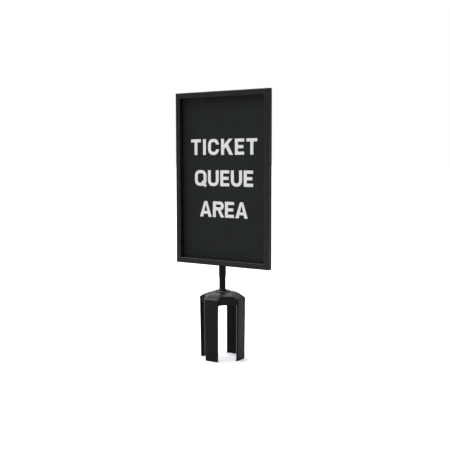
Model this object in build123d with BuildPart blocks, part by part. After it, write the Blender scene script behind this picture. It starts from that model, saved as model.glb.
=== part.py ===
from build123d import *
import os
from math import cos, radians, sin, tan

# Post-top sign stand: a framed sign on a short turning stem, on a four-legged cap that slips over
# the head of a belt-barrier post. Millimetres. The origin is the centre of the leg ends on the stem
# axis, +Z is up, and the sign faces -Y.

# Sign frame: a standard 7 x 11 inch insert in slim rails.
INSERT_WIDTH = 177.8
INSERT_HEIGHT = 279.4
INSERT_THICKNESS = 0.5
BACKING_THICKNESS = 0.8
FRAME_WIDTH = 190.5
FRAME_HEIGHT = 292.1
FRAME_DEPTH = 11.0
RAIL_WIDTH = 9.6
RAIL_WALL = 1.2
RAIL_ROUND = 1.5
GROOVE_FRONT = 3.3      # front wall of the insert groove, behind mid-depth
GROOVE_REAR = 4.7
GROOVE_FLOOR = 6.2      # from the rail's outer edge
FRAME_BOTTOM = 156.5
FRAME_TOP = FRAME_BOTTOM + FRAME_HEIGHT
FRAME_MIDDLE = FRAME_BOTTOM + FRAME_HEIGHT / 2

# Chamber that runs inside each rail and holds the corner keys.
CHAMBER_REAR = 2.1
CHAMBER_FRONT = -FRAME_DEPTH / 2 + RAIL_WALL
CHAMBER_DEPTH = CHAMBER_REAR - CHAMBER_FRONT
CHAMBER_HEIGHT = RAIL_WIDTH - 2 * RAIL_WALL
CHAMBER_Y = (CHAMBER_REAR + CHAMBER_FRONT) / 2
KEY_CLEARANCE = 0.1
KEY_REACH = 26.0
KEY_SCREW_INSET = 18.0
SCREW_RADIUS = 1.5
SCREW_HEAD_RADIUS = 2.7
SCREW_HEAD_HEIGHT = 0.7
SCREW_LENGTH = 7.0
FIT = 0.05

# Lettering: thin vinyl characters in three lines.
CAP_HEIGHT = 26.7
LINE_PITCH = 52.5
LINES_RISE = 1.2        # how far the middle line is above the middle of the frame
STEM_STROKE = 6.0
BAR_STROKE = 5.2
VINYL_THICKNESS = 0.15
LETTER_WIDTHS = {"A": 25.0, "C": 22.5, "E": 18.5, "I": STEM_STROKE, "K": 23.5,
                 "Q": 24.5, "R": 22.5, "T": 21.0, "U": 22.5}
LINES = [("lettering_top", "TICKET", 136.0, 1), ("lettering_middle", "QUEUE", 120.0, 0),
         ("lettering_bottom", "AREA", 99.0, -1)]
OUTER_CURVE = 9.5
INNER_CURVE = 4.0
A_FOOT = 6.8
A_NOTCH = 5.0           # depth of the inner apex below the top of the A
A_BAR_BOTTOM = 5.2
A_BAR_STROKE = 4.6
C_OPENING = 8.0
E_SHORT = 1.5           # how much shorter the middle bar of the E is
R_COUNTER = 4.6
R_HEAD = 2 * BAR_STROKE + R_COUNTER
R_OUTER_CURVE = 7.4
R_INNER_CURVE = 2.2
# Corners of the slanting strokes, from the lower left corner of the character.
SLANTING_STROKES = {
    "K": [((STEM_STROKE, 9.4), (23.5, CAP_HEIGHT), (15.9, CAP_HEIGHT), (STEM_STROKE, 17.4)),
          ((9.1, 13.2), (14.1, 18.1), (24.3, 0), (17.1, 0))],
    "Q": [((14.0, 7.0), (17.7, 9.8), (25.1, 0.4), (21.1, -2.2))],
    "R": [((9.5, 12.5), (16.0, 12.5), (23.3, 0), (16.5, 0))],
}

# Stem.
ROD_RADIUS = 5.4
ROD_FOOT_RADIUS = 6.9
ROD_FOOT_HEIGHT = 3.0
SPIGOT_RADIUS = 4.0
STUD_RADIUS = 2.0
STUD_TOP = FRAME_BOTTOM + 6.8
COLLAR_RADIUS = 6.15
COLLAR_BOTTOM = FRAME_BOTTOM - 20.6
COLLAR_TAPER_TOP = FRAME_BOTTOM - 15.5
SET_SCREW_Z = FRAME_BOTTOM - 9.4
SET_SCREW_TURN = 36.0
SET_SCREW_RADIUS = 1.5
ANCHOR_LENGTH = 33.6
ANCHOR_REAR = 3.2

# Post cap with four legs.
CAP_TURN = 5.4          # the cap sits turned a little under the sign
CROWN_TOP = 113.0
CROWN_RADIUS = 13.3
DOME_RADIUS = 46.0
SHOULDER_Z = CROWN_TOP - 9.7
SLOT_TOP = CROWN_TOP - 18.9
SLOT_WIDTH = 32.0
SOCKET_RADIUS = 32.8
LEG_APOTHEM = 38.1      # at the shoulder
LEG_HALF_WIDTH = 13.6
LEG_DRAFT = 0.86        # degrees
BRIDGE_APOTHEM = 30.3
BRIDGE_HALF_WIDTH = 10.35
SHELF = 0.5             # margin within which an edge counts as lying on a face
BRIDGE_REACH = 37.0     # edges between the bridges and the dome lie nearer to the axis than this
CORNER_ROUND = 3.0
SHOULDER_ROUND = 2.5
SLOT_ROUND = 2.0
RIM_ROUND = 0.5
LEG_ROUND = 0.6
CREASE_SCALE = 1.04     # size of the round dome that softens the creases of the faceted one
COLUMN_REACH = 44.0
SKIRT_Z = SHOULDER_Z - 5.6
POCKET_RADIUS = 26.8
POCKET_FLAT = 14.0
POCKET_SHOULDER = CROWN_TOP - 7.0
POCKET_TOP = CROWN_TOP - 3.5
BOSS_RADIUS = 11.0
BOSS_BOTTOM = CROWN_TOP - 7.8
RIB_THICKNESS = 2.4
RIB_COUNT = 8
RIB_OVERLAP = 0.5       # how far a rib runs into the boss and into the ring

# Turning joint hardware, stacked from the crown down.
FLANGE_RADIUS = 13.3
FLANGE_THICKNESS = 2.0
ROD_SHOULDER = CROWN_TOP + FLANGE_THICKNESS
WASHER_RADIUS = 10.0
WASHER_THICKNESS = 1.6
SPRING_THICKNESS = 2.0
NUT_WIDTH = 13.0
NUT_HEIGHT = 7.0
SPRING_TOP = BOSS_BOTTOM - WASHER_THICKNESS
NUT_TOP = SPRING_TOP - SPRING_THICKNESS
NUT_BOTTOM = NUT_TOP - NUT_HEIGHT
ROD_TIP = 0.4           # how far the thread shows below the nut
ROD_BOTTOM = NUT_BOTTOM - ROD_TIP
NUT_HEX_HEIGHT = 5.2
NUT_COLLAR_RADIUS = 5.8
SPRING_RADIUS = 7.2
SPRING_GAP = 1.2
SPRING_SLANT = 30.0     # degrees
THREAD_BEVEL = 0.8
FLANGE_BEVEL = 0.5
SET_SCREW_LENGTH = 1.7
SET_SCREW_KEY = 1.5
SET_SCREW_KEY_DEPTH = 1.0
DRIVE_DEPTH = 0.5
DRIVE_LENGTH = 3.0
DRIVE_WIDTH = 0.7
INSERT_GAP = 0.02
SLOT_FRONT = 3.1
SLOT_SIDE_GAP = 0.6

os.makedirs("parts", exist_ok=True)


def save(builder, name):
    """Label one finished piece and write its file."""
    builder.part.label = name
    export_step(builder.part, f"parts/{name}.step")


def upright_plane(x, y, z):
    """Plane that faces the viewer in front of the sign, with +Z upwards."""
    return Plane(origin=(x, y, z), x_dir=(1, 0, 0), z_dir=(0, -1, 0))


# Post cap -------------------------------------------------------------------------------------


def cap_outline():
    """Corner points of the cap's plan: four leg faces and four recessed faces between them."""
    points = []
    for quarter in range(4):
        turn = radians(90 * quarter)
        for along, out in ((-LEG_HALF_WIDTH, LEG_APOTHEM), (LEG_HALF_WIDTH, LEG_APOTHEM)):
            points.append((out * cos(turn) - along * sin(turn), out * sin(turn) + along * cos(turn)))
        turn = radians(90 * quarter + 45)
        for along in (-BRIDGE_HALF_WIDTH, BRIDGE_HALF_WIDTH):
            points.append((BRIDGE_APOTHEM * cos(turn) - along * sin(turn),
                           BRIDGE_APOTHEM * sin(turn) + along * cos(turn)))
    return points


def leg_face(height):
    """How far a leg's outer face is from the stem axis at a height, with a hair's clearance."""
    return LEG_APOTHEM - (CROWN_TOP - height) * tan(radians(LEG_DRAFT)) + FIT / 2


def axis_distance(edge):
    """How far the middle of an edge is from the stem axis."""
    middle = edge.center()
    return (middle.X**2 + middle.Y**2) ** 0.5


with BuildPart() as adapter_cap:
    # Legs and crown as one column that draws in towards the bottom, as moulded.
    with BuildSketch(Plane.XY.offset(CROWN_TOP)) as crown_plan:
        Polygon(*cap_outline(), align=None)
        fillet(crown_plan.vertices(), radius=CORNER_ROUND)
    extrude(amount=-CROWN_TOP, taper=LEG_DRAFT)
    # The crown is a faceted dome: the same arch, with rounded shoulders, crosses it four ways.
    for turn in range(0, 180, 45):
        with BuildSketch(Plane.XZ.rotated((0, 0, turn))) as arch:
            with BuildLine():
                Polyline((-CROWN_RADIUS, CROWN_TOP), (CROWN_RADIUS, CROWN_TOP))
                RadiusArc((CROWN_RADIUS, CROWN_TOP), (leg_face(SHOULDER_Z), SHOULDER_Z), DOME_RADIUS)
                Polyline((leg_face(SHOULDER_Z), SHOULDER_Z), (leg_face(0), 0), (-leg_face(0), 0),
                         (-leg_face(SHOULDER_Z), SHOULDER_Z))
                RadiusArc((-leg_face(SHOULDER_Z), SHOULDER_Z), (-CROWN_RADIUS, CROWN_TOP), DOME_RADIUS)
            make_face()
            fillet(arch.vertices().group_by(Axis.Y)[1], radius=SHOULDER_ROUND)
        extrude(amount=COLUMN_REACH, both=True, mode=Mode.INTERSECT)
    rim = adapter_cap.edges().filter_by(lambda edge: edge.bounding_box().min.Z > SHOULDER_Z + SHELF)
    fillet(rim.filter_by(lambda edge: BRIDGE_APOTHEM - SHELF < axis_distance(edge) < BRIDGE_REACH),
           radius=RIM_ROUND)
    # A round dome, a little wider, takes the sharpness off the creases between the facets.
    with BuildSketch(Plane.XZ):
        with BuildLine():
            Polyline((0, 0), (0, CROWN_TOP), (CROWN_RADIUS * CREASE_SCALE, CROWN_TOP))
            RadiusArc((CROWN_RADIUS * CREASE_SCALE, CROWN_TOP),
                      (LEG_APOTHEM * CREASE_SCALE, SHOULDER_Z), DOME_RADIUS * CREASE_SCALE)
            Polyline((LEG_APOTHEM * CREASE_SCALE, SHOULDER_Z), (COLUMN_REACH, SKIRT_Z),
                     (COLUMN_REACH, 0), (0, 0))
        make_face()
    revolve(axis=Axis.Z, mode=Mode.INTERSECT)
    # Four slots let the belts pass out between the legs.
    for turn in (45, 135):
        with BuildSketch(Plane.XZ.rotated((0, 0, turn))):
            with Locations((0, SLOT_TOP / 2)):
                slot_outline = Rectangle(SLOT_WIDTH, SLOT_TOP)
            fillet(slot_outline.vertices().group_by(Axis.Z)[-1], radius=SLOT_ROUND)
        extrude(amount=COLUMN_REACH, both=True, mode=Mode.SUBTRACT)
    leg_edges = adapter_cap.edges().filter_by(lambda edge: edge.bounding_box().max.Z < SLOT_TOP + FIT)
    fillet(leg_edges.filter_by(lambda edge: axis_distance(edge) > BRIDGE_APOTHEM - SHELF), radius=LEG_ROUND)
    # Socket for the post head, and the hollow under the crown.
    Cylinder(SOCKET_RADIUS, SLOT_TOP, align=(Align.CENTER, Align.CENTER, Align.MIN), mode=Mode.SUBTRACT)
    with BuildSketch(Plane.XZ):
        Polygon((BOSS_RADIUS, SLOT_TOP), (POCKET_RADIUS, SLOT_TOP), (POCKET_RADIUS, POCKET_SHOULDER),
                (POCKET_FLAT, POCKET_TOP), (BOSS_RADIUS, POCKET_TOP), align=None)
    revolve(axis=Axis.Z, mode=Mode.SUBTRACT)
    with Locations((0, 0, SLOT_TOP)):
        Cylinder(BOSS_RADIUS + FIT, BOSS_BOTTOM - SLOT_TOP,
                 align=(Align.CENTER, Align.CENTER, Align.MIN), mode=Mode.SUBTRACT)
    # Ribs brace the boss to the ring.
    with BuildSketch(Plane.XY.offset(BOSS_BOTTOM)):
        with PolarLocations((BOSS_RADIUS + POCKET_RADIUS) / 2, RIB_COUNT):
            Rectangle(POCKET_RADIUS - BOSS_RADIUS + 2 * RIB_OVERLAP, RIB_THICKNESS)
    extrude(amount=POCKET_SHOULDER - BOSS_BOTTOM)
    Cylinder(SPIGOT_RADIUS + FIT, CROWN_TOP, align=(Align.CENTER, Align.CENTER, Align.MIN),
             mode=Mode.SUBTRACT)
adapter_cap.part = adapter_cap.part.rotate(Axis.Z, CAP_TURN)
save(adapter_cap, "adapter_cap")

# Turning joint hardware -----------------------------------------------------------------------


def ring(inner_radius, outer_radius, bottom, height):
    """Add a flat ring about the stem axis."""
    with BuildSketch(Plane.XY.offset(bottom)) as plan:
        Circle(outer_radius)
        Circle(inner_radius, mode=Mode.SUBTRACT)
    extrude(plan.sketch, amount=height)


with BuildPart() as flange_washer:
    ring(SPIGOT_RADIUS + FIT, FLANGE_RADIUS, CROWN_TOP, FLANGE_THICKNESS)
    chamfer(flange_washer.edges().filter_by(GeomType.CIRCLE).group_by(Axis.Z)[-1].sort_by(
        SortBy.RADIUS)[-1], length=FLANGE_BEVEL)
save(flange_washer, "flange_washer")

with BuildPart() as under_washer:
    ring(SPIGOT_RADIUS + FIT, WASHER_RADIUS, SPRING_TOP, WASHER_THICKNESS)
save(under_washer, "under_washer")

with BuildPart() as spring_washer:
    ring(SPIGOT_RADIUS + FIT, SPRING_RADIUS, NUT_TOP, SPRING_THICKNESS)
    with Locations((SPRING_RADIUS, 0, NUT_TOP + SPRING_THICKNESS / 2)):
        Box(2 * SPRING_RADIUS - SPIGOT_RADIUS, SPRING_GAP, 2 * SPRING_THICKNESS,
            rotation=(SPRING_SLANT, 0, 0), mode=Mode.SUBTRACT)
save(spring_washer, "spring_washer")

with BuildPart() as lock_nut:
    with BuildSketch(Plane.XY.offset(NUT_TOP - NUT_HEX_HEIGHT)):
        RegularPolygon(NUT_WIDTH / 2, 6, major_radius=False)
        Circle(SPIGOT_RADIUS + FIT, mode=Mode.SUBTRACT)
    extrude(amount=NUT_HEX_HEIGHT)
    ring(SPIGOT_RADIUS + FIT, NUT_COLLAR_RADIUS, NUT_BOTTOM, NUT_HEIGHT - NUT_HEX_HEIGHT)
save(lock_nut, "lock_nut")

# Stem -----------------------------------------------------------------------------------------

with BuildPart() as stem_rod:
    with BuildSketch(Plane.XZ):
        Polygon((0, ROD_BOTTOM), (SPIGOT_RADIUS - THREAD_BEVEL, ROD_BOTTOM),
                (SPIGOT_RADIUS, ROD_BOTTOM + THREAD_BEVEL), (SPIGOT_RADIUS, ROD_SHOULDER),
                (ROD_FOOT_RADIUS, ROD_SHOULDER), (ROD_FOOT_RADIUS, ROD_SHOULDER + THREAD_BEVEL),
                (ROD_RADIUS, ROD_SHOULDER + ROD_FOOT_HEIGHT), (ROD_RADIUS, COLLAR_BOTTOM),
                (SPIGOT_RADIUS, COLLAR_BOTTOM), (SPIGOT_RADIUS, FRAME_BOTTOM),
                (STUD_RADIUS, FRAME_BOTTOM), (STUD_RADIUS, STUD_TOP), (0, STUD_TOP), align=None)
    revolve(axis=Axis.Z)
save(stem_rod, "stem_rod")

SCREW_AXIS = Plane(origin=(0, 0, SET_SCREW_Z), x_dir=(0, 0, 1),
                   z_dir=(sin(radians(SET_SCREW_TURN)), -cos(radians(SET_SCREW_TURN)), 0))

with BuildPart() as stem_collar:
    with BuildSketch(Plane.XZ):
        Polygon((SPIGOT_RADIUS + FIT, COLLAR_BOTTOM), (ROD_RADIUS + FIT, COLLAR_BOTTOM),
                (COLLAR_RADIUS, COLLAR_TAPER_TOP), (COLLAR_RADIUS, FRAME_BOTTOM),
                (SPIGOT_RADIUS + FIT, FRAME_BOTTOM), align=None)
    revolve(axis=Axis.Z)
    with BuildSketch(SCREW_AXIS):
        Circle(SET_SCREW_RADIUS)
    extrude(amount=2 * COLLAR_RADIUS, mode=Mode.SUBTRACT)
save(stem_collar, "stem_collar")

with BuildPart() as collar_set_screw:
    with BuildSketch(SCREW_AXIS.offset(SPIGOT_RADIUS + FIT)):
        Circle(SET_SCREW_RADIUS - FIT)
    extrude(amount=SET_SCREW_LENGTH)
    with BuildSketch(SCREW_AXIS.offset(SPIGOT_RADIUS + FIT + SET_SCREW_LENGTH)):
        RegularPolygon(SET_SCREW_KEY / 2, 6, major_radius=False)
    extrude(amount=-SET_SCREW_KEY_DEPTH, mode=Mode.SUBTRACT)
save(collar_set_screw, "collar_set_screw")

# Sign frame -----------------------------------------------------------------------------------

ANCHOR_FRONT = CHAMBER_FRONT + FIT
ANCHOR_DEPTH = ANCHOR_REAR - ANCHOR_FRONT
ANCHOR_Y = (ANCHOR_REAR + ANCHOR_FRONT) / 2
ANCHOR_HEIGHT = CHAMBER_HEIGHT - 2 * KEY_CLEARANCE
ANCHOR_Z = FRAME_BOTTOM + RAIL_WIDTH / 2

with BuildPart() as stem_anchor:
    with Locations((0, ANCHOR_Y, ANCHOR_Z)):
        Box(ANCHOR_LENGTH, ANCHOR_DEPTH, ANCHOR_HEIGHT)
    with Locations((0, 0, ANCHOR_Z)):
        Cylinder(STUD_RADIUS + FIT, ANCHOR_HEIGHT, mode=Mode.SUBTRACT)
save(stem_anchor, "stem_anchor")


def rail(along, inboard, length):
    """Add one mitred rail of the sign frame, hollow, with the groove for the insert."""
    middle = Vector(0, 0, FRAME_MIDDLE)
    half = (FRAME_WIDTH + FRAME_HEIGHT - length) / 2
    edge = middle - Vector(*inboard) * half
    across = Plane(origin=edge, x_dir=inboard, z_dir=Vector(*inboard).cross(Vector(0, 1, 0)))
    with BuildSketch(across) as section:
        with Locations((RAIL_WIDTH / 2, 0)):
            RectangleRounded(RAIL_WIDTH, FRAME_DEPTH, RAIL_ROUND)
        with Locations((RAIL_WIDTH / 2, CHAMBER_Y)):
            Rectangle(CHAMBER_HEIGHT, CHAMBER_DEPTH, mode=Mode.SUBTRACT)
        with Locations((RAIL_WIDTH, (GROOVE_FRONT + GROOVE_REAR) / 2)):
            Rectangle(2 * (RAIL_WIDTH - GROOVE_FLOOR), GROOVE_REAR - GROOVE_FRONT, mode=Mode.SUBTRACT)
    extrude(section.sketch, amount=length / 2, both=True)
    face = Plane(origin=edge, x_dir=along, z_dir=Vector(*along).cross(Vector(*inboard)))
    with BuildSketch(face) as outline:
        Polygon((-length / 2, 0), (length / 2, 0), (length / 2 - RAIL_WIDTH, RAIL_WIDTH),
                (RAIL_WIDTH - length / 2, RAIL_WIDTH), align=None)
    extrude(outline.sketch, amount=FRAME_DEPTH, both=True, mode=Mode.INTERSECT)


def key_screw_places(z):
    """Places of the two corner screws in the rail at height z."""
    inset = FRAME_WIDTH / 2 - KEY_SCREW_INSET
    return [(-inset, CHAMBER_Y, z), (inset, CHAMBER_Y, z)]


def screw_holes(z, into_frame):
    """Cut the holes and head recesses of the two corner screws through a rail's outer wall."""
    with Locations(*key_screw_places(z + into_frame * RAIL_WALL / 2)):
        Cylinder(SCREW_RADIUS + 2 * FIT, 2 * RAIL_WALL, mode=Mode.SUBTRACT)
    with Locations(*key_screw_places(z + into_frame * SCREW_HEAD_HEIGHT / 2)):
        Cylinder(SCREW_HEAD_RADIUS + FIT, SCREW_HEAD_HEIGHT, mode=Mode.SUBTRACT)


with BuildPart() as frame_left_rail:
    rail((0, 0, 1), (1, 0, 0), FRAME_HEIGHT)
save(frame_left_rail, "frame_left_rail")

with BuildPart() as frame_right_rail:
    rail((0, 0, 1), (-1, 0, 0), FRAME_HEIGHT)
save(frame_right_rail, "frame_right_rail")

with BuildPart() as frame_bottom_rail:
    rail((1, 0, 0), (0, 0, 1), FRAME_WIDTH)
    # Seat for the stem anchor, and the hole that its stud comes up through.
    with Locations((0, (CHAMBER_FRONT + ANCHOR_REAR + FIT) / 2, ANCHOR_Z)):
        Box(ANCHOR_LENGTH + 2 * FIT, ANCHOR_REAR + FIT - CHAMBER_FRONT, CHAMBER_HEIGHT,
            mode=Mode.SUBTRACT)
    with Locations((0, 0, FRAME_BOTTOM)):
        Cylinder(STUD_RADIUS + FIT, 4 * RAIL_WALL, mode=Mode.SUBTRACT)
    screw_holes(FRAME_BOTTOM, 1)
save(frame_bottom_rail, "frame_bottom_rail")

with BuildPart() as frame_top_rail:
    rail((1, 0, 0), (0, 0, -1), FRAME_WIDTH)
    # The insert and its backing slide out through this slot.
    with Locations((0, (SLOT_FRONT + GROOVE_REAR) / 2, FRAME_TOP - RAIL_WIDTH / 2)):
        Box(INSERT_WIDTH + 2 * SLOT_SIDE_GAP, GROOVE_REAR - SLOT_FRONT, 2 * RAIL_WIDTH,
            mode=Mode.SUBTRACT)
    screw_holes(FRAME_TOP, -1)
save(frame_top_rail, "frame_top_rail")

KEY_SECTION = CHAMBER_HEIGHT - 2 * KEY_CLEARANCE
KEY_DEPTH = CHAMBER_DEPTH - 2 * KEY_CLEARANCE
KEY_START = RAIL_WALL + KEY_CLEARANCE


def corner_key(side, end):
    """Add the L-shaped key of one corner; side and end are the signs of its X and Z."""
    corner_x = side * (FRAME_WIDTH / 2 - KEY_START)
    corner_z = FRAME_MIDDLE + end * (FRAME_HEIGHT / 2 - KEY_START)
    with Locations((corner_x - side * KEY_REACH / 2, CHAMBER_Y, corner_z - end * KEY_SECTION / 2)):
        Box(KEY_REACH, KEY_DEPTH, KEY_SECTION)
    with Locations((corner_x - side * KEY_SECTION / 2, CHAMBER_Y, corner_z - end * KEY_REACH / 2)):
        Box(KEY_SECTION, KEY_DEPTH, KEY_REACH)
    screw_x = side * (FRAME_WIDTH / 2 - KEY_SCREW_INSET)
    with Locations((screw_x, CHAMBER_Y, corner_z - end * KEY_SECTION / 2)):
        Cylinder(SCREW_RADIUS + FIT, 2 * KEY_SECTION, mode=Mode.SUBTRACT)


for end_name, end in (("top", 1), ("bottom", -1)):
    for side_name, side in (("left", -1), ("right", 1)):
        with BuildPart() as key:
            corner_key(side, end)
        save(key, f"corner_key_{end_name}_{side_name}")

with BuildPart() as corner_screws:
    for z, into_frame in ((FRAME_BOTTOM, 1), (FRAME_TOP, -1)):
        with Locations(*key_screw_places(z + into_frame * SCREW_HEAD_HEIGHT / 2)):
            Cylinder(SCREW_HEAD_RADIUS, SCREW_HEAD_HEIGHT)
        with Locations(*key_screw_places(z + into_frame * SCREW_LENGTH / 2)):
            Cylinder(SCREW_RADIUS, SCREW_LENGTH)
        with Locations(*key_screw_places(z + into_frame * DRIVE_DEPTH / 2)):
            Box(DRIVE_LENGTH, DRIVE_WIDTH, DRIVE_DEPTH, mode=Mode.SUBTRACT)
            Box(DRIVE_WIDTH, DRIVE_LENGTH, DRIVE_DEPTH, mode=Mode.SUBTRACT)
save(corner_screws, "corner_screws")

# Sliding insert -------------------------------------------------------------------------------

INSERT_BOTTOM = FRAME_BOTTOM + GROOVE_FLOOR + FIT
INSERT_MIDDLE = INSERT_BOTTOM + INSERT_HEIGHT / 2
INSERT_FRONT = GROOVE_FRONT + INSERT_GAP
BACKING_FRONT = INSERT_FRONT + INSERT_THICKNESS + INSERT_GAP

with BuildPart() as sign_insert:
    with Locations((0, INSERT_FRONT + INSERT_THICKNESS / 2, INSERT_MIDDLE)):
        Box(INSERT_WIDTH, INSERT_THICKNESS, INSERT_HEIGHT)
save(sign_insert, "sign_insert")

with BuildPart() as backing_board:
    with Locations((0, BACKING_FRONT + BACKING_THICKNESS / 2, INSERT_MIDDLE)):
        Box(INSERT_WIDTH, BACKING_THICKNESS, INSERT_HEIGHT)
save(backing_board, "backing_board")


def bar(left, bottom, width, height):
    """One straight stroke of a character, measured from the character's lower left corner."""
    with Locations((left, bottom)):
        Rectangle(width, height, align=(Align.MIN, Align.MIN))


def bowl(left, bottom, width, height, radius, mode=Mode.ADD):
    """Rounded block: the outer or inner outline of a round character."""
    with Locations((left + width / 2, bottom + height / 2)):
        RectangleRounded(width, height, radius, mode=mode)


def open_ring(width):
    """Round character outline with an even stroke."""
    bowl(0, 0, width, CAP_HEIGHT, OUTER_CURVE)
    bowl(STEM_STROKE, BAR_STROKE, width - 2 * STEM_STROKE, CAP_HEIGHT - 2 * BAR_STROKE, INNER_CURVE,
         Mode.SUBTRACT)


def draw_character(name):
    """Draw one block character in the open sketch, its lower left corner at the sketch's origin."""
    width = LETTER_WIDTHS[name]
    top = CAP_HEIGHT - BAR_STROKE
    if name in "EIKR":
        bar(0, 0, STEM_STROKE, CAP_HEIGHT)
    if name in "CQ":
        open_ring(width)
    if name == "A":
        apex = (width - STEM_STROKE) / 2
        Polygon((0, 0), (A_FOOT, 0), (width / 2, CAP_HEIGHT - A_NOTCH), (width - A_FOOT, 0), (width, 0),
                (width - apex, CAP_HEIGHT), (apex, CAP_HEIGHT), align=None)
        bar(A_FOOT, A_BAR_BOTTOM, width - 2 * A_FOOT, A_BAR_STROKE)
    elif name == "C":
        with Locations((width, CAP_HEIGHT / 2)):
            Rectangle(2 * STEM_STROKE, C_OPENING, mode=Mode.SUBTRACT)
    elif name == "E":
        bar(0, 0, width, BAR_STROKE)
        bar(0, top / 2, width - E_SHORT, BAR_STROKE)
        bar(0, top, width, BAR_STROKE)
    elif name == "R":
        bowl(0, CAP_HEIGHT - R_HEAD, width, R_HEAD, R_OUTER_CURVE)
        bar(0, CAP_HEIGHT - R_HEAD, width / 2, R_HEAD)
        bowl(STEM_STROKE, top - R_COUNTER, width - 2 * STEM_STROKE, R_COUNTER, R_INNER_CURVE,
             Mode.SUBTRACT)
    elif name == "T":
        bar(0, top, width, BAR_STROKE)
        bar((width - STEM_STROKE) / 2, 0, STEM_STROKE, CAP_HEIGHT)
    elif name == "U":
        # Two round blocks that run past the top and are cut off level there.
        bowl(0, 0, width, CAP_HEIGHT + OUTER_CURVE, OUTER_CURVE)
        bowl(STEM_STROKE, BAR_STROKE, width - 2 * STEM_STROKE, CAP_HEIGHT + OUTER_CURVE, INNER_CURVE,
             Mode.SUBTRACT)
        with Locations((0, CAP_HEIGHT)):
            Rectangle(width, OUTER_CURVE, align=(Align.MIN, Align.MIN), mode=Mode.SUBTRACT)
    for corners in SLANTING_STROKES.get(name, []):
        Polygon(*corners, align=None)


for name, word, line_width, place in LINES:
    gap = (line_width - sum(LETTER_WIDTHS[letter] for letter in word)) / (len(word) - 1)
    left = -line_width / 2
    baseline = FRAME_MIDDLE + LINES_RISE + place * LINE_PITCH - CAP_HEIGHT / 2
    with BuildPart() as lettering:
        for letter in word:
            with BuildSketch(upright_plane(left, INSERT_FRONT, baseline)):
                draw_character(letter)
            extrude(amount=VINYL_THICKNESS)
            left += LETTER_WIDTHS[letter] + gap
    save(lettering, name)
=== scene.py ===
"""Looks for the post-top sign stand: materials, fine surface detail, floor, studio light and camera.

Places are in metres, in the CAD model's own frame: the origin is the centre of the leg ends,
+Z is up and the sign faces -Y. Every visible piece is a CAD node, so no piece is added here.
"""

import math

import bpy
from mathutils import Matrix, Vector

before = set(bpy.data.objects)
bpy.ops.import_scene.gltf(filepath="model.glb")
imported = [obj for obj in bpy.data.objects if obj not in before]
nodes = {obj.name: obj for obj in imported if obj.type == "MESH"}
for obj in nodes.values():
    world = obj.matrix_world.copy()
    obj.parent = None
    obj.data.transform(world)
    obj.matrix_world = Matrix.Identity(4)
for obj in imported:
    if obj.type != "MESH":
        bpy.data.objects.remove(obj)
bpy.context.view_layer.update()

# Camera: a nearly level three-quarter view from the front right, a little above the middle. The lens
# and the sensor are in millimetres.
CAMERA_AZIMUTH = math.radians(35.8)
CAMERA_TILT = math.radians(4.72)
CAMERA_ROLL = math.radians(0.126)
CAMERA_DISTANCE = 1.359
CAMERA_SIDE_STEP = 0.0048
CAMERA_HEIGHT = 0.3377
CAMERA_LENS = 64.95
SENSOR_WIDTH = 36

# Tones of the surfaces, linear.
POWDER_BLACK = (0.0060, 0.0061, 0.0050, 1)
STEM_BLACK = (0.0030, 0.0028, 0.0022, 1)
ABS_BLACK = (0.0026, 0.0029, 0.0029, 1)
CARD_BLACK = (0.0136, 0.0157, 0.0146, 1)
VINYL_WHITE = (0.70, 0.70, 0.685, 1)
ZINC = (0.62, 0.63, 0.64, 1)
BLACK_OXIDE = (0.006, 0.006, 0.0065, 1)
HARDBOARD = (0.022, 0.02, 0.019, 1)

# Floor: pale to the eye, darker in what it throws back onto the object.
FLOOR_RADIUS = 40
FLOOR_SEEN = (0.80, 0.80, 0.80, 1)
FLOOR_REFLECTED = (0.42, 0.42, 0.42, 1)

# Directions that the studio's light comes from, and the tint of its window.
BEHIND = (-0.17, 0.985, 0)
RIGHT = (math.cos(CAMERA_AZIMUTH), math.sin(CAMERA_AZIMUTH), 0)
UP = (0, 0, 1)
LEFT_WINDOW = (-0.557, 0.049, 0.829)
UPPER_FRONT = (0.10, -0.75, 0.65)
WINDOW_TINT = (0.96, 0.975, 1.05, 1)


# Materials ------------------------------------------------------------------------------------

# Most of a noise texture's values lie between these two.
NOISE_LOW = 0.3
NOISE_HIGH = 0.7


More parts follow.
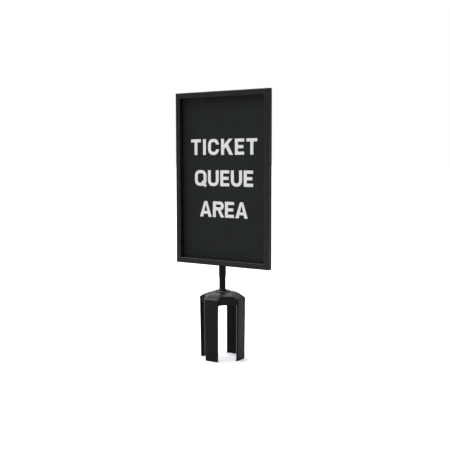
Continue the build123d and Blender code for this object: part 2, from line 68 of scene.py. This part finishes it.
class Surface:
    """A principled material with short helpers for its texture nodes."""

    def __init__(self, name, color, roughness, metallic=0.0, specular=0.5):
        self.material = bpy.data.materials.new(name)
        self.material.use_nodes = True
        self.tree = self.material.node_tree
        self.shader = self.tree.nodes["Principled BSDF"]
        self.shader.inputs["Base Color"].default_value = color
        self.shader.inputs["Roughness"].default_value = roughness
        self.shader.inputs["Metallic"].default_value = metallic
        self.shader.inputs["Specular IOR Level"].default_value = specular
        self.place = self.tree.nodes.new("ShaderNodeTexCoord").outputs["Object"]
        self.bumped = None

    def link(self, output, target):
        self.tree.links.new(output, target)

    def stretched(self, scale):
        """Object coordinates scaled by a vector, for brushed or drawn textures."""
        node = self.tree.nodes.new("ShaderNodeVectorMath")
        node.operation = "MULTIPLY"
        node.inputs[1].default_value = scale
        self.link(self.place, node.inputs[0])
        return node.outputs[0]

    def noise(self, scale, detail, place=None):
        node = self.tree.nodes.new("ShaderNodeTexNoise")
        node.inputs["Scale"].default_value = scale
        node.inputs["Detail"].default_value = detail
        self.link(place or self.place, node.inputs["Vector"])
        return node.outputs["Fac"]

    def pits(self, scale):
        node = self.tree.nodes.new("ShaderNodeTexVoronoi")
        node.inputs["Scale"].default_value = scale
        self.link(self.place, node.inputs["Vector"])
        return node.outputs["Distance"]

    def ramp(self, value, low, high, start, end):
        """Map a value between start and end to one between low and high."""
        node = self.tree.nodes.new("ShaderNodeMapRange")
        node.inputs["From Min"].default_value = start
        node.inputs["From Max"].default_value = end
        node.inputs["To Min"].default_value = low
        node.inputs["To Max"].default_value = high
        self.link(value, node.inputs["Value"])
        return node.outputs["Result"]

    def vary_color(self, value, dark, light, start=NOISE_LOW, end=NOISE_HIGH):
        node = self.tree.nodes.new("ShaderNodeMix")
        node.data_type = "RGBA"
        node.inputs["A"].default_value = dark
        node.inputs["B"].default_value = light
        self.link(self.ramp(value, 0.0, 1.0, start, end), node.inputs["Factor"])
        self.link(node.outputs["Result"], self.shader.inputs["Base Color"])

    def vary_roughness(self, value, low, high):
        self.link(self.ramp(value, low, high, NOISE_LOW, NOISE_HIGH), self.shader.inputs["Roughness"])

    def bump(self, value, height):
        """Add relief of the given height in metres; calls stack."""
        node = self.tree.nodes.new("ShaderNodeBump")
        node.inputs["Distance"].default_value = height
        node.inputs["Strength"].default_value = 1
        self.link(value, node.inputs["Height"])
        if self.bumped:
            self.link(self.bumped, node.inputs["Normal"])
        self.bumped = node.outputs["Normal"]
        self.link(self.bumped, self.shader.inputs["Normal"])


def shade(color, factor):
    """The same colour, lighter or darker."""
    return tuple(channel * factor for channel in color[:3]) + (1,)


def powder_coat():
    surface = Surface("powder_coat_black", POWDER_BLACK, 0.42, specular=0.28)
    surface.vary_color(surface.noise(60, 5), shade(POWDER_BLACK, 0.8), shade(POWDER_BLACK, 1.25))
    surface.vary_roughness(surface.noise(140, 6), 0.36, 0.5)
    surface.bump(surface.noise(330, 2), 0.00003)
    surface.bump(surface.noise(900, 4), 0.00002)
    return surface.material


def stem_paint():
    surface = Surface("satin_paint_black", STEM_BLACK, 0.2, specular=0.1)
    drawn = surface.stretched((900, 900, 60))
    surface.vary_color(surface.noise(1, 4, drawn), shade(STEM_BLACK, 0.75), shade(STEM_BLACK, 1.3))
    surface.vary_roughness(surface.noise(220, 5), 0.16, 0.25)
    surface.bump(surface.noise(1, 3, drawn), 0.00001)
    surface.bump(surface.noise(500, 2), 0.000015)
    return surface.material


def moulded_abs():
    surface = Surface("moulded_abs_black", ABS_BLACK, 0.4, specular=0.18)
    surface.vary_color(surface.noise(45, 4), shade(ABS_BLACK, 0.85), shade(ABS_BLACK, 1.2))
    surface.vary_roughness(surface.noise(90, 6), 0.36, 0.46)
    surface.bump(surface.noise(1600, 3), 0.00002)
    surface.bump(surface.pits(1100), 0.00001)
    return surface.material


def black_oxide(name, specular):
    surface = Surface(name, BLACK_OXIDE, 0.25, specular=specular)
    surface.vary_roughness(surface.noise(400, 5), 0.18, 0.3)
    surface.bump(surface.noise(700, 3), 0.00001)
    return surface.material


def zinc_plate():
    surface = Surface("zinc_plated_steel", ZINC, 0.3, metallic=1.0)
    surface.vary_color(surface.noise(250, 4), shade(ZINC, 0.85), shade(ZINC, 1.05))
    surface.vary_roughness(surface.noise(600, 4), 0.24, 0.4)
    surface.bump(surface.noise(1200, 2), 0.00001)
    return surface.material


def matt_card():
    surface = Surface("matt_card_black", CARD_BLACK, 0.6, specular=0.08)
    surface.vary_color(surface.noise(30, 3), shade(CARD_BLACK, 0.92), shade(CARD_BLACK, 1.1))
    surface.vary_roughness(surface.noise(500, 4), 0.54, 0.66)
    surface.bump(surface.noise(2500, 2), 0.000008)
    return surface.material


def hardboard():
    surface = Surface("hardboard_black", HARDBOARD, 0.7)
    fibres = surface.stretched((500, 500, 160))
    surface.vary_color(surface.noise(1, 6, fibres), shade(HARDBOARD, 0.7), shade(HARDBOARD, 1.5))
    surface.bump(surface.noise(1, 6, fibres), 0.00006)
    surface.bump(surface.noise(1500, 3), 0.00002)
    return surface.material


def white_vinyl():
    surface = Surface("white_vinyl", VINYL_WHITE, 0.45)
    surface.vary_color(surface.noise(90, 4), shade(VINYL_WHITE, 0.97), VINYL_WHITE)
    surface.vary_roughness(surface.noise(700, 3), 0.4, 0.52)
    surface.bump(surface.noise(1800, 2), 0.000006)
    return surface.material


def paint(material, *names):
    """Give CAD nodes one material."""
    for name in names:
        slots = nodes[name].data.materials
        slots.clear()
        slots.append(material)


rails = [name for name in nodes if name.startswith("frame_")]
keys = [name for name in nodes if name.startswith("corner_key")]
letters = [name for name in nodes if name.startswith("lettering")]

paint(powder_coat(), *rails)
paint(stem_paint(), "stem_rod", "stem_collar")
paint(moulded_abs(), "adapter_cap")
paint(black_oxide("black_oxide_washer", 0.5), "flange_washer")
paint(black_oxide("black_oxide_screw", 0.12), "corner_screws", "collar_set_screw")
paint(zinc_plate(), "under_washer", "spring_washer", "lock_nut", "stem_anchor", *keys)
paint(matt_card(), "sign_insert")
paint(hardboard(), "backing_board")
paint(white_vinyl(), *letters)

# Floor ----------------------------------------------------------------------------------------


def make_floor():
    """A floor wide enough to run out of every view: white to the eye, grey in what it reflects."""
    bpy.ops.mesh.primitive_circle_add(vertices=96, radius=FLOOR_RADIUS, fill_type="NGON")
    floor = bpy.context.object
    floor.name = "studio_floor"
    surface = Surface("studio_floor", FLOOR_SEEN, 0.6, specular=0.2)
    seen = surface.tree.nodes.new("ShaderNodeLightPath").outputs["Is Camera Ray"]
    surface.vary_color(seen, FLOOR_REFLECTED, FLOOR_SEEN, start=0, end=1)
    surface.vary_roughness(surface.noise(3, 2), 0.55, 0.65)
    floor.data.materials.append(surface.material)


make_floor()

# Light ----------------------------------------------------------------------------------------


def make_world():
    """White backdrop for the eye, and for the object a dim room with a window and a bright wall."""
    world = bpy.data.worlds.new("studio")
    bpy.context.scene.world = world
    world.use_nodes = True
    tree = world.node_tree
    tree.nodes.clear()
    link = tree.links.new
    direction = tree.nodes.new("ShaderNodeTexCoord").outputs["Generated"]

    def along(vector, start, end, low, high):
        """Light that grows from low to high as the direction turns towards a vector."""
        dot = tree.nodes.new("ShaderNodeVectorMath")
        dot.operation = "DOT_PRODUCT"
        dot.inputs[1].default_value = vector
        link(direction, dot.inputs[0])
        ramp = tree.nodes.new("ShaderNodeMapRange")
        ramp.interpolation_type = "SMOOTHSTEP"
        for socket, value in (("From Min", start), ("From Max", end), ("To Min", low), ("To Max", high)):
            ramp.inputs[socket].default_value = value
        link(dot.outputs["Value"], ramp.inputs["Value"])
        return ramp.outputs["Result"]

    def add(a, b):
        node = tree.nodes.new("ShaderNodeMath")
        node.operation = "ADD"
        link(a, node.inputs[0])
        link(b, node.inputs[1])
        return node.outputs[0]

    glow = add(along(BEHIND, 0.8, 0.99, 0.01, 0.7), along(RIGHT, 0.35, 0.95, 0.0, 0.14))
    glow = add(glow, along(UP, 0.15, 0.45, 0.0, 0.5))
    glow = add(glow, along(UP, 0.5, 0.85, 0.0, 0.85))
    glow = add(glow, along(UPPER_FRONT, 0.55, 0.97, 0.0, 0.5))
    room = tree.nodes.new("ShaderNodeBackground")
    link(glow, room.inputs["Strength"])
    window = tree.nodes.new("ShaderNodeBackground")
    window.inputs["Color"].default_value = WINDOW_TINT
    link(along(LEFT_WINDOW, 0.64, 0.92, 0.0, 4.7), window.inputs["Strength"])
    lit = tree.nodes.new("ShaderNodeAddShader")
    link(room.outputs[0], lit.inputs[0])
    link(window.outputs[0], lit.inputs[1])
    backdrop = tree.nodes.new("ShaderNodeBackground")
    backdrop.inputs["Color"].default_value = (1, 1, 1, 1)
    mix = tree.nodes.new("ShaderNodeMixShader")
    link(tree.nodes.new("ShaderNodeLightPath").outputs["Is Camera Ray"], mix.inputs[0])
    link(lit.outputs[0], mix.inputs[1])
    link(backdrop.outputs[0], mix.inputs[2])
    link(mix.outputs[0], tree.nodes.new("ShaderNodeOutputWorld").inputs["Surface"])


make_world()

# Camera ---------------------------------------------------------------------------------------


def make_camera():
    """Camera at the distance, height and turn given at the top."""
    data = bpy.data.cameras.new("camera")
    data.lens = CAMERA_LENS
    data.sensor_width = SENSOR_WIDTH
    camera = bpy.data.objects.new("camera", data)
    back = Vector((math.sin(CAMERA_AZIMUTH), -math.cos(CAMERA_AZIMUTH), 0))
    side = Vector((math.cos(CAMERA_AZIMUTH), math.sin(CAMERA_AZIMUTH), 0))
    camera.location = back * CAMERA_DISTANCE + side * CAMERA_SIDE_STEP + Vector((0, 0, CAMERA_HEIGHT))
    camera.rotation_euler = (math.pi / 2 - CAMERA_TILT, CAMERA_ROLL, CAMERA_AZIMUTH)
    bpy.context.scene.collection.objects.link(camera)
    bpy.context.scene.camera = camera


make_camera()

scene = bpy.context.scene
scene.view_settings.view_transform = "Standard"
scene.view_settings.look = "None"
